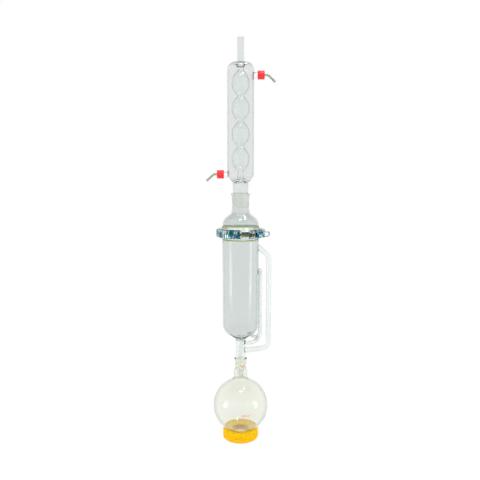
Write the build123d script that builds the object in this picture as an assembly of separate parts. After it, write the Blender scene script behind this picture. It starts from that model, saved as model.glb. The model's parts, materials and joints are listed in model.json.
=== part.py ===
from build123d import *
from math import atan2, cos, degrees, radians, sin, sqrt, tan
import os

# Soxhlet extractor with a two litre flask, a flanged extractor and a bulb condenser.
# Millimetres, +Z up, origin in the middle of the support ring's underside.
# The front looks along -Y, and the tubes at the side of the extractor are on +X.
# An azimuth is in degrees from the front, towards +X.

# Support ring
ring_diameter = 108.0
ring_height = 30.0
ring_bore = 54.0
ring_edge_rounding = 5.0
ring_bore_rounding = 2.0
ring_seat_gap = 0.3

# Round bottom flask
flask_diameter = 166.0
flask_wall = 2.6
flask_bottom_height = 18.0
flask_neck_diameter = 42.0
flask_neck_wall = 2.4
flask_neck_height = 116.0
flask_neck_rounding = 9.0
flask_neck_lead = 5.0
flask_bore_lead = 7.0

# Ground joints: the diameter is at the wide end, and the taper is one in ten
joint_taper = 0.1
joint_gap = 0.05
lower_joint_diameter = 29.2
lower_joint_length = 32.0
lower_socket_wall = 3.6
lower_bead = 1.3
upper_joint_diameter = 50.0
upper_joint_length = 42.0
upper_socket_wall = 2.1
upper_bead = 1.6
bead_height = 5.0
bead_land = 3.5
bead_rounding = 1.2
socket_rounding = 2.0
joint_chamfer = 0.5

# Extractor body
chamber_diameter = 108.0
chamber_wall = 3.0
chamber_height = 326.5
chamber_floor_slope = 36.0
chamber_floor_flat = 10.0
chamber_floor_rounding = 28.0
chamber_foot_rounding = 20.0
lower_tube_diameter = 30.0
lower_tube_wall = 2.5
lower_tube_length = 56.5
lower_tube_rounding = 6.0
lower_tube_shoulder = 3.0
drip_tip_diameter = 19.0
drip_tip_wall = 1.6
drip_tip_length = 30.0
drip_tip_angle = 30.0
drip_tip_lead = 5.0
drip_tip_rounding = 3.0

# Vapour tube beside the extractor
vapour_tube_diameter = 16.0
vapour_tube_wall = 1.5
vapour_tube_reach = 84.5
vapour_outlet_drop = 44.0
vapour_outlet_slope = 38.0
vapour_top_bend = 28.0
vapour_foot_height = 22.0
vapour_foot_slope = 7.0
vapour_foot_bend = 20.0

# Siphon tube
siphon_diameter = 11.6
siphon_wall = 1.5
siphon_reach = 62.0
siphon_spread = 19.0
siphon_height = 213.5
siphon_port_radius = 28.0
siphon_foot_drop = 5.5
siphon_foot_bend = 15.0
siphon_return_drop = 7.5
siphon_return_bend = 38.0
siphon_drain_bend = 12.0

# Flat flanges, seal and their shape
flange_diameter = 138.0
flange_rim = 7.0
flange_grip = 4.5
flange_back_height = 18.9
flange_back_rounding = 8.0
flange_face_rounding = 0.8
flange_rim_rounding = 1.0
flange_grip_rounding = 1.5
flange_gap = 0.4
seal_diameter = 120.0
seal_groove_width = 5.4
seal_groove_depth = 3.2
seal_width = 4.6
seal_rounding = 1.4

# Flange adapter
adapter_height = 75.0
adapter_wall = 3.0
adapter_slope = 37.0
adapter_shoulder_height = 38.3
adapter_shoulder_rounding = 25.0
adapter_neck_diameter = 55.6
adapter_neck_rounding = 6.0

# Condenser
condenser_neck_diameter = 45.8
condenser_neck_length = 31.5
condenser_wall = 2.2
jacket_diameter = 78.8
jacket_height = 345.0
jacket_foot_slope = 48.0
jacket_foot_rounding = 12.0
jacket_foot_thickness = 3.5
jacket_top_rounding = 18.0
jacket_top_fall = 1.0
bulb_count = 4
bulb_diameter = 51.4
bulb_pitch = 72.6
bulb_neck_diameter = 19.0
bulb_wall = 1.5
bulb_lowest = 33.4
bulb_neck_rounding = 5.5
bulb_overlap = 4.0
funnel_height = 12.0
funnel_rounding = 7.0
vent_diameter = 20.8
vent_wall = 1.9
vent_length = 79.0
vent_dip = 7.0
vent_dip_width = 6.0
vent_flare_start = 14.0
vent_flare_end = 4.0

# Water connections on the condenser
stub_diameter = 18.0
stub_bore = 11.0
stub_reach = 62.5
upper_stub_height = 310.5
lower_stub_height = 24.5
cap_diameter = 24.8
cap_length = 20.4
cap_end_wall = 2.2
cap_clearance = 0.3
cap_rib_count = 20
cap_rib_depth = 0.6
cap_rib_end = 2.4
hose_seal_height = 2.5
hose_seal_gap = 0.1
connector_diameter = 7.0
connector_bore = 4.6
connector_flange_diameter = 16.0
connector_flange_height = 1.9
connector_run = 12.0
connector_angle = 42.0
connector_arm = 29.0
connector_bend = 9.0
connector_barb_diameter = 9.0
connector_barb_length = 5.0
connector_inset = 3.0
running_gap = 0.08

# Flange clamp
band_height = 21.0
band_thickness = 1.6
hinge_azimuth = 120.0
band_end_margin = 1.0
left_band_end = 2.4
right_band_start = 19.5
claw_gap = 0.3
claw_thickness = 1.8
claw_seat = 0.1
claw_lip_reach = 4.4
claw_bend_share = 0.53
claw_hinge_margin = 15.0
knuckle_radius = 3.2
knuckle_set_out = 1.8
knuckle_gap = 0.3
rear_knuckle_height = 7.0
hinge_pin_radius = 1.5
hinge_head_radius = 2.4
hinge_head_height = 1.0

# Toggle latch of the clamp
pivot_x = 30.0
pivot_y = -78.0
pin_radius = 2.0
pin_head_radius = 3.0
pin_head_height = 0.8
bolt_crank = 9.0
bolt_crank_angle = 12.0
bolt_length = 50.8
bolt_radius = 2.2
bolt_tail = 10.0
bolt_eye_radius = 4.2
bolt_eye_height = 8.0
nut_radius = 3.6
nut_height = 17.0
catch_width = 11.0
catch_depth = 4.0
catch_height = 17.0
catch_slot_height = 5.6
catch_release_angle = 12.0
latch_gap = 0.3
ear_thickness = 1.8
ear_radius = 5.0
bracket_thickness = 1.5
bracket_end = 32.0
lever_plate_thickness = 1.6
lever_height = 18.0
lever_arm_radius = 84.0
lever_arm_width = 9.8
lever_web_start = 36.0
lever_arm_end = 47.0
lever_loop_length = 29.0
lever_loop_tip_height = 13.6
lever_loop_frame = 3.0

# Heights that follow from the sizes above
flask_centre_z = flask_bottom_height + flask_diameter / 2
lower_joint_z = flask_centre_z + flask_neck_height
lower_rim_z = lower_joint_z + lower_joint_length
floor_z = lower_rim_z + lower_tube_length
flange_z = floor_z + chamber_height
adapter_z = flange_z + flange_gap
upper_joint_z = adapter_z + adapter_height
upper_rim_z = upper_joint_z + upper_joint_length
jacket_z = upper_rim_z + condenser_neck_length
jacket_top_z = jacket_z + jacket_height
clamp_z = flange_z + flange_gap / 2


def section(corners):
    """flat face on the XZ plane: each corner is its radius, its height and its rounding"""
    points = [(x, z) for x, z, rounding in corners]
    roundings = [rounding for x, z, rounding in corners]
    return Plane.XZ * make_face(FilletPolyline(*points, radius=roundings, close=True))


def inner_line(outline, wall):
    """corners of the line that lies one wall to the left of an outline"""
    line = []
    for i, (x, z, rounding) in enumerate(outline):
        x0, z0, _ = outline[max(i - 1, 0)]
        x1, z1, _ = outline[min(i + 1, len(outline) - 1)]
        heading_in = atan2(z - z0, x - x0) if i > 0 else atan2(z1 - z, x1 - x)
        heading_out = atan2(z1 - z, x1 - x) if i < len(outline) - 1 else heading_in
        turn = atan2(sin(heading_out - heading_in), cos(heading_out - heading_in))
        middle = heading_in + turn / 2
        step = wall / cos(turn / 2)
        follow = -wall if turn > 0 else wall
        inner_rounding = max(rounding + follow, 0.0) if rounding else 0.0
        line.append((x - step * sin(middle), z + step * cos(middle), inner_rounding))
    return line


def turned(face):
    """full turn of a half section about the vertical axis"""
    return revolve(face, Axis.Z)


def sector(face, start, end):
    """part turn of a half section, from one azimuth to another"""
    return Rot(0, 0, start - 90) * revolve(face, Axis.Z, end - start)


def at_azimuth(radius, azimuth, z=0.0):
    """point at a distance from the vertical axis"""
    return Vector(radius * sin(radians(azimuth)), -radius * cos(radians(azimuth)), z)


def upright(radius, low, high, x=0.0, y=0.0):
    """vertical cylinder between two heights"""
    return Pos(x, y, low) * Cylinder(radius, high - low, align=(Align.CENTER, Align.CENTER, Align.MIN))


def tube_along(route, radius):
    """round bar along a route of lines and arcs"""
    start = Plane(origin=route @ 0, z_dir=route % 0)
    return sweep(start * Circle(radius), path=route)


def socket_line(small_z, length, diameter, wall, bead):
    """outer line of a ground socket with a rounded bead at its mouth, from the bottom up"""
    wide = diameter / 2 + wall
    narrow = wide - length * joint_taper / 2
    below_bead = wide - bead_height * joint_taper / 2
    return [
        (narrow, small_z, socket_rounding),
        (below_bead, small_z + length - bead_height, 1.0),
        (wide + bead, small_z + length - bead_land, bead_rounding),
        (wide + bead, small_z + length, bead_rounding),
    ]


def socket_bore(small_z, length, diameter):
    """inner line of a ground socket, from the mouth down"""
    wide = diameter / 2
    return [(wide, small_z + length, 0.0), (wide - length * joint_taper / 2, small_z, joint_chamfer)]


def support_ring():
    """ring with a bowl shaped seat for the flask"""
    outer = ring_diameter / 2
    bore = ring_bore / 2
    block = section([
        (bore, 0, ring_bore_rounding),
        (outer, 0, ring_edge_rounding),
        (outer, ring_height, ring_edge_rounding),
        (bore, ring_height, 0.0),
    ])
    seat = Sphere(flask_diameter / 2 + ring_seat_gap)
    return turned(block) - Pos(0, 0, flask_centre_z) * seat


def flask_fill(radius, neck_radius, rounding, top_line):
    """flask section filled to the axis, with its neck blended into the ball"""
    ball = Pos(0, flask_centre_z) * Circle(radius)
    neck = make_face(FilletPolyline(
        *[(x, z) for x, z, _ in top_line],
        radius=[rounding_here for _, _, rounding_here in top_line],
        close=True,
    ))
    half = Rectangle(4 * radius, 8 * radius, align=(Align.MIN, Align.CENTER))
    face = (ball + neck) & half
    meet = [v for v in face.vertices() if abs(v.X - neck_radius) < 0.01 and v.Y < flask_centre_z + radius]
    return Plane.XZ * fillet(meet, rounding)


def round_bottom_flask():
    """ball and neck of even wall, with a ground socket for a mouth"""
    radius = flask_diameter / 2
    neck = flask_neck_diameter / 2
    socket = socket_line(lower_joint_z, lower_joint_length, lower_joint_diameter, lower_socket_wall, lower_bead)
    outer = [(0, flask_centre_z, 0), (neck, flask_centre_z, 0), (neck, lower_joint_z - flask_neck_lead, 5)]
    outer += socket + [(0, lower_rim_z, 0)]
    inner_neck = neck - flask_neck_wall
    bore = socket_bore(lower_joint_z, lower_joint_length, lower_joint_diameter)
    inner = [(0, flask_centre_z, 0), (inner_neck, flask_centre_z, 0), (inner_neck, lower_joint_z - flask_bore_lead, 4)]
    inner += bore[::-1] + [(0, lower_rim_z, 0)]
    glass = turned(flask_fill(radius, neck, flask_neck_rounding, outer))
    hollow = turned(flask_fill(radius - flask_wall, inner_neck, flask_neck_rounding + flask_wall, inner))
    return glass - hollow


def flange_line(face_z, side):
    """outer line of a flat flange, from its mating face to the tube behind it"""
    rim = flange_diameter / 2
    return [
        (rim, face_z, flange_face_rounding),
        (rim, face_z + side * flange_rim, flange_rim_rounding),
        (rim - flange_grip, face_z + side * (flange_rim + flange_grip), flange_grip_rounding),
        (chamber_diameter / 2, face_z + side * flange_back_height, flange_back_rounding),
    ]


def chamber_line():
    """outer line of the chamber's closed foot and straight wall, from the axis up"""
    radius = chamber_diameter / 2
    rise = (radius - chamber_floor_flat) * tan(radians(chamber_floor_slope))
    return [
        (0, floor_z, 0),
        (chamber_floor_flat, floor_z, chamber_foot_rounding),
        (radius, floor_z + rise, chamber_floor_rounding),
        (radius, flange_z, 0),
    ]


def cone_line():
    """outer line of the drip tip and the ground cone below the extractor, from the tip up"""
    wide = lower_joint_diameter / 2 - joint_gap
    narrow = wide - lower_joint_length * joint_taper / 2
    tip = drip_tip_diameter / 2
    return [
        (tip, lower_joint_z - drip_tip_length, 0),
        (tip, lower_joint_z - drip_tip_lead, drip_tip_rounding),
        (narrow, lower_joint_z, 1.0),
        (wide, lower_rim_z, 0.4),
        (lower_tube_diameter / 2, lower_rim_z + lower_tube_shoulder, 1.0),
    ]


def extractor_outside():
    """section of the extractor filled to the axis"""
    tube = lower_tube_diameter / 2
    slope = tan(radians(chamber_floor_slope))
    meet_z = floor_z + (tube - chamber_floor_flat) * slope
    chamber = chamber_line()
    foot = [(0, lower_joint_z - drip_tip_length, 0)] + cone_line()
    flange = flange_line(flange_z, -1)[::-1]
    corners = foot + [(tube, meet_z, lower_tube_rounding), chamber[2]] + flange + [(0, flange_z, 0)]
    return section(corners)


def lower_tube_space():
    """space inside the drip tip, the cone and the lower tube, up to the chamber's floor"""
    tip = drip_tip_diameter / 2 - drip_tip_wall
    tube = lower_tube_diameter / 2 - lower_tube_wall
    narrow = lower_joint_diameter / 2 - joint_gap - lower_joint_length * joint_taper / 2 - lower_tube_wall
    return section([
        (0, lower_joint_z - drip_tip_length - 1, 0),
        (tip, lower_joint_z - drip_tip_length - 1, 0),
        (tip, lower_joint_z - drip_tip_rounding, drip_tip_rounding),
        (narrow, lower_joint_z + drip_tip_rounding, drip_tip_rounding),
        (tube, lower_rim_z + 1, 2.0),
        (tube, floor_z, 3.0),
        (0, floor_z, 0),
    ])


def vapour_route(start_x, end_x):
    """centre line of the vapour tube, from the chamber down to the lower tube"""
    top_slope = tan(radians(vapour_outlet_slope))
    foot_slope = tan(radians(vapour_foot_slope))
    outlet_z = flange_z - vapour_outlet_drop
    wall_x = chamber_diameter / 2
    foot_z = lower_rim_z + vapour_foot_height
    return FilletPolyline(
        (start_x, 0, outlet_z + (wall_x - start_x) * top_slope),
        (vapour_tube_reach, 0, outlet_z - (vapour_tube_reach - wall_x) * top_slope),
        (vapour_tube_reach, 0, foot_z + vapour_tube_reach * foot_slope),
        (end_x, 0, foot_z + end_x * foot_slope),
        radius=[vapour_top_bend, vapour_foot_bend],
    )


def siphon_route(start_radius, tip_z):
    """centre line of the siphon: up behind, over, down in front and into the drip tip"""
    slope = tan(radians(chamber_floor_slope))
    port_z = floor_z + (siphon_port_radius - chamber_floor_flat) * slope + chamber_wall / 2
    foot_z = floor_z - siphon_foot_drop
    fall = (port_z - foot_z) / (siphon_reach - siphon_port_radius)
    start_z = port_z + (siphon_port_radius - start_radius) * fall
    top_z = floor_z + siphon_height
    return_z = floor_z - siphon_return_drop
    back = 90 + siphon_spread
    front = 90 - siphon_spread
    crown = siphon_reach * sin(radians(siphon_spread)) - 0.2
    return FilletPolyline(
        at_azimuth(start_radius, back, start_z),
        at_azimuth(siphon_reach, back, foot_z),
        at_azimuth(siphon_reach, back, top_z),
        at_azimuth(siphon_reach, front, top_z),
        at_azimuth(siphon_reach, front, return_z),
        (0, 0, return_z),
        (0, 0, tip_z),
        radius=[siphon_foot_bend, crown, crown, siphon_return_bend, siphon_drain_bend],
    )


def extractor_body():
    """blown extractor: chamber, flange, vapour tube, siphon and ground cone in one piece of glass"""
    tip_z = lower_joint_z - drip_tip_length
    bore_x = lower_tube_diameter / 2 - lower_tube_wall
    chamber_x = chamber_diameter / 2 - chamber_wall
    vapour_radius = vapour_tube_diameter / 2
    siphon_radius = siphon_diameter / 2
    inside = inner_line(chamber_line(), chamber_wall)
    chamber_space = section(inside + [(0, flange_z, 0)])
    glass = turned(extractor_outside())
    glass += tube_along(vapour_route(chamber_x - 2, bore_x - 1), vapour_radius)
    glass -= turned(lower_tube_space())
    glass += tube_along(siphon_route(siphon_port_radius, tip_z + 2), siphon_radius)
    glass -= turned(chamber_space)
    glass -= tube_along(vapour_route(chamber_x - 8, bore_x - 3), vapour_radius - vapour_tube_wall)
    glass -= tube_along(siphon_route(siphon_port_radius - 6, tip_z + 1), siphon_radius - siphon_wall)
    groove = section([
        (seal_diameter / 2 - seal_groove_width / 2, flange_z - seal_groove_depth, 0),
        (seal_diameter / 2 + seal_groove_width / 2, flange_z - seal_groove_depth, 0),
        (seal_diameter / 2 + seal_groove_width / 2, flange_z + 1, 0),
        (seal_diameter / 2 - seal_groove_width / 2, flange_z + 1, 0),
    ])
    glass -= turned(groove)
    slant = Pos(0, 0, tip_z) * Rot(0, drip_tip_angle, 0)
    glass -= slant * Box(60, 60, 40, align=(Align.CENTER, Align.CENTER, Align.MAX))
    return glass


def flange_seal():
    """round seal in the groove of the lower flange, pressed flat on both sides"""
    low = flange_z - seal_groove_depth
    high = adapter_z
    inner = seal_diameter / 2 - seal_width / 2
    outer = seal_diameter / 2 + seal_width / 2
    corners = [(inner, low), (outer, low), (outer, high), (inner, high)]
    return turned(section([(x, z, seal_rounding) for x, z in corners]))


def flange_adapter():
    """bell of glass from the flat flange to the upper ground socket"""
    radius = chamber_diameter / 2
    neck = adapter_neck_diameter / 2
    shoulder_z = adapter_z + adapter_shoulder_height
    neck_z = shoulder_z + (radius - neck) * tan(radians(adapter_slope))
    socket_foot = upper_joint_diameter / 2 - upper_joint_length * joint_taper / 2 + upper_socket_wall
    bell = [
        (radius, adapter_z, 0),
        (radius, shoulder_z, adapter_shoulder_rounding),
        (neck, neck_z, adapter_neck_rounding),
        (socket_foot, upper_joint_z, socket_rounding),
    ]
    socket = socket_line(upper_joint_z, upper_joint_length, upper_joint_diameter, upper_socket_wall, upper_bead)
    outer = [(0, adapter_z, 0)] + flange_line(adapter_z, 1) + bell[1:3] + socket + [(0, upper_rim_z, 0)]
    bore = socket_bore(upper_joint_z, upper_joint_length, upper_joint_diameter)
    inner = [(0, adapter_z, 0)] + inner_line(bell, adapter_wall)[:3] + bore[::-1] + [(0, upper_rim_z, 0)]
    return turned(section(outer)) - turned(section(inner))


def bulb_fill(widest, narrowest, rounding, low, high):
    """section of the row of bulbs, filled to the axis, with a straight tube at both ends"""
    first_z = jacket_z + bulb_lowest
    last_z = first_z + bulb_count * bulb_pitch
    with BuildSketch() as column:
        with BuildLine():
            for i in range(bulb_count):
                base = first_z + i * bulb_pitch
                middle = (widest, base + bulb_pitch / 2)
                ThreePointArc((narrowest, base), middle, (narrowest, base + bulb_pitch))
            Polyline(
                (narrowest, last_z), (narrowest, high), (0, high),
                (0, low), (narrowest, low), (narrowest, first_z),
            )
        make_face()
        necks = [v for v in column.vertices() if first_z - 1 < v.Y < last_z + 1]
        fillet(necks, rounding)
    return Plane.XZ * column.sketch


def condenser_outside():
    """section of the condenser filled to the axis"""
    wide = upper_joint_diameter / 2 - joint_gap
    narrow = wide - upper_joint_length * joint_taper / 2
    neck = condenser_neck_diameter / 2
    jacket = jacket_diameter / 2
    vent = vent_diameter / 2
    foot_rise = (jacket - neck) * tan(radians(jacket_foot_slope))
    return section([
        (0, upper_joint_z, 0),
        (narrow, upper_joint_z, 1.0),
        (wide, upper_rim_z - 0.5, 0.8),
        (neck, upper_rim_z + 1.5, 1.0),
        (neck, jacket_z, 2.0),
        (jacket, jacket_z + foot_rise, jacket_foot_rounding),
        (jacket, jacket_top_z - jacket_top_fall, jacket_top_rounding),
        (vent + vent_dip_width, jacket_top_z, 6.0),
        (vent, jacket_top_z - vent_dip, 2.0),
        (vent, jacket_top_z - vent_dip + vent_length, 0.6),
        (0, jacket_top_z - vent_dip + vent_length, 0),
    ])


def condenser_passage():
    """section of the inner way, from the cone through the bulbs to the vent"""
    neck = condenser_neck_diameter / 2 - condenser_wall
    tube = bulb_neck_diameter / 2 - bulb_wall
    bulbs = bulb_fill(bulb_diameter / 2 - bulb_wall, tube, bulb_neck_rounding, jacket_z, jacket_top_z - 10)
    funnel = section([
        (0, upper_joint_z - 1, 0),
        (neck, upper_joint_z - 1, 0),
        (neck, jacket_z + 1, 4.0),
        (tube, jacket_z + funnel_height, funnel_rounding),
        (tube, jacket_z + bulb_lowest - bulb_overlap, 0),
        (0, jacket_z + bulb_lowest - bulb_overlap, 0),
    ])
    vent = vent_diameter / 2 - vent_wall
    outlet = section([
        (0, jacket_top_z - vent_flare_start, 0),
        (tube, jacket_top_z - vent_flare_start, 0),
        (vent, jacket_top_z - vent_flare_end, 0),
        (vent, jacket_top_z + vent_length, 0),
        (0, jacket_top_z + vent_length, 0),
    ])
    return bulbs + funnel + outlet


def condenser_water_space():
    """section of the space between the jacket and the row of bulbs"""
    neck = condenser_neck_diameter / 2
    jacket = jacket_diameter / 2 - condenser_wall
    tube = bulb_neck_diameter / 2
    vent = vent_diameter / 2
    foot_rise = (jacket - neck) * tan(radians(jacket_foot_slope))
    foot_z = jacket_z + jacket_foot_thickness
    jacket_inside = section([
        (0, foot_z, 0),
        (neck, foot_z, 1.0),
        (jacket, foot_z + foot_rise, jacket_foot_rounding - 2),
        (jacket, jacket_top_z - jacket_top_fall - condenser_wall, jacket_top_rounding - 2),
        (vent + vent_dip_width, jacket_top_z - condenser_wall, 4.0),
        (vent + 2, jacket_top_z - 9, 1.0),
        (0, jacket_top_z - 9, 0),
    ])
    low_flare = section([
        (0, jacket_z, 0),
        (neck + 1, jacket_z, 0),
        (neck + 1, jacket_z + 3.2, 0),
        (tube, jacket_z + funnel_height + 2, funnel_rounding + 1),
        (tube, jacket_z + bulb_lowest - bulb_overlap, 0),
        (0, jacket_z + bulb_lowest - bulb_overlap, 0),
    ])
    top_flare = section([
        (0, jacket_top_z - 20, 0),
        (tube, jacket_top_z - 20, 0),
        (tube, jacket_top_z - 15, 5.0),
        (vent + 3, jacket_top_z - 6, 0),
        (vent + 3, jacket_top_z, 0),
        (0, jacket_top_z, 0),
    ])
    outer_rounding = bulb_neck_rounding - bulb_wall
    bulbs = bulb_fill(bulb_diameter / 2, tube, outer_rounding, jacket_z + 8, jacket_top_z - 8)
    return jacket_inside - (bulbs + low_flare + top_flare)


def stub(side, z, radius, start):
    """round bar along X, out to the mouth of a water connection"""
    bar = Cylinder(radius, stub_reach - start, align=(Align.CENTER, Align.CENTER, Align.MIN))
    return Pos(side * start, 0, z) * Rot(0, side * 90, 0) * bar


def condenser():
    """bulb condenser: cone, jacket, four bulbs, vent tube and two threaded stubs, in one piece of glass"""
    wall_x = jacket_diameter / 2 - condenser_wall
    upper_z = jacket_z + upper_stub_height
    lower_z = jacket_z + lower_stub_height
    glass = turned(condenser_outside())
    glass += stub(1, upper_z, stub_diameter / 2, wall_x - 3)
    glass += stub(-1, lower_z, stub_diameter / 2, wall_x - 3)
    glass -= turned(condenser_passage())
    glass -= turned(condenser_water_space())
    glass -= stub(1, upper_z, stub_bore / 2, wall_x - 4)
    glass -= stub(-1, lower_z, stub_bore / 2, wall_x - 4)
    return glass


def along_x(piece, side, z):
    """piece made along Z from the stub's mouth, laid along X on one side of the condenser"""
    laid = Pos(stub_reach, 0, z) * Rot(0, 90, 0) * piece
    return laid if side > 0 else mirror(laid, Plane.YZ)


def hose_cap():
    """screw cap with a hole in its end wall and ribs round its skirt, its mouth downwards"""
    radius = cap_diameter / 2
    bore = stub_diameter / 2 + cap_clearance
    seat = hose_seal_height + hose_seal_gap + connector_flange_height + 2 * cap_clearance
    top = seat + cap_end_wall
    skirt = section([
        (bore, top - cap_length, 0.5),
        (radius, top - cap_length, 0),
        (radius, top, 1.6),
        (connector_diameter / 2 + 1.0, top, 0.4),
        (connector_diameter / 2 + 1.0, seat, 0),
        (bore, seat, 0),
    ])
    cap = turned(skirt)
    width = cap_rib_depth * sqrt(2) + cap_rib_depth
    notch = Rot(0, 0, 45) * Box(width, width, cap_length, align=(Align.CENTER, Align.CENTER, Align.MAX))
    groove = Pos(radius + width / sqrt(2) - cap_rib_depth, 0, top - cap_rib_end) * notch
    for i in range(cap_rib_count):
        cap -= Rot(0, 0, i * 360 / cap_rib_count) * groove
    return cap


def hose_seal():
    """flat seal between the stub's mouth and the connector's collar"""
    inner = connector_diameter / 2 + running_gap
    outer = stub_diameter / 2 - 0.2
    low = hose_seal_gap
    high = hose_seal_gap + hose_seal_height
    return turned(section([(inner, low, 0), (outer, low, 0.4), (outer, high, 0.4), (inner, high, 0)]))


def hose_connector():
    """bent hose tail with a collar that sits under the cap and a barb at its tip"""
    radius = connector_diameter / 2
    collar_low = hose_seal_gap + hose_seal_height + hose_seal_gap
    collar_high = collar_low + connector_flange_height
    collar = connector_flange_diameter / 2
    bend_z = collar_high + connector_run
    away = radians(connector_angle)
    tip = Vector(connector_arm * sin(away), 0, bend_z + connector_arm * cos(away))
    route = FilletPolyline((0, 0, -connector_inset), (0, 0, bend_z), tip, radius=connector_bend)
    body = tube_along(route, radius)
    body += turned(section([
        (0, collar_low, 0), (collar, collar_low, 0.4), (collar, collar_high, 0.4), (0, collar_high, 0),
    ]))
    barb = Plane(origin=tip, z_dir=route % 1)
    upward = (Align.CENTER, Align.CENTER, Align.MAX)
    cone = Cone(connector_barb_diameter / 2, radius, connector_barb_length, align=upward)
    body += barb * Rot(180, 0, 0) * Pos(0, 0, connector_barb_length) * cone
    past_tip = tip + route % 1
    bore_route = FilletPolyline((0, 0, -connector_inset - 1), (0, 0, bend_z), past_tip, radius=connector_bend)
    return body - tube_along(bore_route, connector_bore / 2)


def band_inner():
    """radius of the band's inner face: the flange, the claw round it and the claw's seat"""
    return flange_diameter / 2 + claw_gap * sqrt(2) + claw_thickness + claw_seat


def band_outer():
    """radius of the band's outer face"""
    return band_inner() + band_thickness


def hinge_place(side):
    """middle of a band hinge, on one side"""
    return at_azimuth(band_outer() + knuckle_set_out, side * hinge_azimuth, clamp_z)


def knuckle(side, low, high):
    """hinge barrel between two heights, counted from the middle of the clamp"""
    place = hinge_place(side)
    return upright(knuckle_radius, clamp_z + low, clamp_z + high, place.X, place.Y)


def knuckle_room(side, low, high):
    """room that a band leaves round the barrel of its neighbour"""
    place = hinge_place(side)
    return upright(knuckle_radius + knuckle_gap, clamp_z + low, clamp_z + high, place.X, place.Y)


def pin_hole(side):
    """hole for a hinge pin through the whole band"""
    place = hinge_place(side)
    half = band_height / 2 + 1
    return upright(hinge_pin_radius + running_gap, clamp_z - half, clamp_z + half, place.X, place.Y)


def band_strip(start, end):
    """bent strip of the band between two azimuths"""
    half = band_height / 2
    inner = band_inner()
    outer = band_outer()
    strip = section([
        (inner, clamp_z - half, 0), (outer, clamp_z - half, 0),
        (outer, clamp_z + half, 0), (inner, clamp_z + half, 0),
    ])
    return sector(strip, start, end)


def rear_band():
    """fixed rear third of the band, with one knuckle in the middle of each end"""
    half = band_height / 2
    middle = rear_knuckle_height / 2
    start = hinge_azimuth + band_end_margin
    band = band_strip(start, 360 - start)
    for side in (-1, 1):
        band -= knuckle_room(side, middle, half + 1)
        band -= knuckle_room(side, -half - 1, -middle)
        band += knuckle(side, -middle, middle)
        band -= pin_hole(side)
    return band


def front_band(side, start, end):
    """swinging front part of the band, with a knuckle at the top and the bottom of its hinge end"""
    half = band_height / 2
    middle = rear_knuckle_height / 2 + knuckle_gap
    band = band_strip(start, end)
    band -= knuckle_room(side, -middle, middle)
    band += knuckle(side, middle, half)
    band += knuckle(side, -half, -middle)
    band -= pin_hole(side)
    return band


def claw(start, end):
    """bent claw whose two lips hold the flanges together, between two azimuths"""
    gap = claw_gap * sqrt(2)
    rim = flange_rim + flange_gap / 2
    web = flange_diameter / 2 + gap
    lip = web - claw_lip_reach
    thick = claw_thickness
    slant = thick / sqrt(2)
    profile = section([
        (lip, clamp_z - rim - claw_lip_reach, 0),
        (lip + slant, clamp_z - rim - claw_lip_reach - slant, 0.3),
        (web + thick, clamp_z - rim - slant + claw_bend_share * thick, 1.0),
        (web + thick, clamp_z + rim + slant - claw_bend_share * thick, 1.0),
        (lip + slant, clamp_z + rim + claw_lip_reach + slant, 0.3),
        (lip, clamp_z + rim + claw_lip_reach, 0),
        (web, clamp_z + rim, 0),
        (web, clamp_z - rim, 0),
    ])
    return sector(profile, start, end)


def hinge_pin(side):
    """rivet through a band hinge, with a head above and below"""
    place = hinge_place(side)
    half = band_height / 2 + running_gap
    low = clamp_z - half
    high = clamp_z + half
    pin = upright(hinge_pin_radius, low, high, place.X, place.Y)
    pin += upright(hinge_head_radius, high, high + hinge_head_height, place.X, place.Y)
    pin += upright(hinge_head_radius, low - hinge_head_height, low, place.X, place.Y)
    return pin


def bolt_pin_place():
    """middle of the pin that the bolt's eye hangs on"""
    angle = radians(bolt_crank_angle)
    return (pivot_x + bolt_crank * cos(angle), pivot_y + bolt_crank * sin(angle))


def nut_place():
    """middle of the cross nut at the far end of the bolt"""
    x, y = bolt_pin_place()
    return (x - bolt_length, y)


def catch_bracket():
    """forked block on the left band that holds the cross nut behind its two ears"""
    nut_x, rod_y = nut_place()
    face_x = nut_x + nut_radius + latch_gap
    front_y = rod_y - catch_depth
    lean = tan(radians(catch_release_angle))
    end_x = face_x + catch_width
    plan = make_face(Polyline(
        (face_x + (rod_y - front_y) * lean, front_y),
        (end_x, front_y),
        (end_x, -band_inner() + 6),
        (face_x, -band_inner() + 6),
        (face_x, rod_y),
        close=True,
    ))
    low = clamp_z - catch_height / 2
    block = extrude(Pos(0, 0, low) * plan, catch_height)
    block -= upright(band_outer() + 0.05, low - 1, low + catch_height + 1)
    slot_y = rod_y + bolt_radius + 0.5
    slot = Box(4 * catch_width, 20, catch_slot_height, align=(Align.CENTER, Align.MAX, Align.CENTER))
    block -= Pos(face_x, slot_y, clamp_z) * slot
    return block


def clamp_bolt():
    """threaded rod with an eye for the lever's pin"""
    x, y = bolt_pin_place()
    nut_x, _ = nut_place()
    half = bolt_eye_height / 2
    eye = upright(bolt_eye_radius, clamp_z - half, clamp_z + half, x, y)
    length = x - nut_x + bolt_tail
    rod = Cylinder(bolt_radius, length, align=(Align.CENTER, Align.CENTER, Align.MIN))
    rod = chamfer(rod.edges().group_by(Axis.Z)[-1], 0.5)
    bolt = eye + Pos(x, y, clamp_z) * Rot(0, -90, 0) * rod
    return bolt - upright(pin_radius + running_gap, clamp_z - half - 1, clamp_z + half + 1, x, y)


def cross_nut():
    """round cross nut that the rod is screwed through"""
    x, y = nut_place()
    half = nut_height / 2
    nut = upright(nut_radius, clamp_z - half, clamp_z + half, x, y)
    nut = chamfer(nut.edges().filter_by(GeomType.CIRCLE), 0.5)
    hole = Cylinder(bolt_radius + 0.03, 4 * nut_radius)
    return nut - Pos(x, y, clamp_z) * Rot(0, 90, 0) * hole


def ear_height():
    """distance from the middle of the clamp to the outer face of a bracket ear"""
    return lever_height / 2 - lever_plate_thickness - latch_gap


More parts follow.
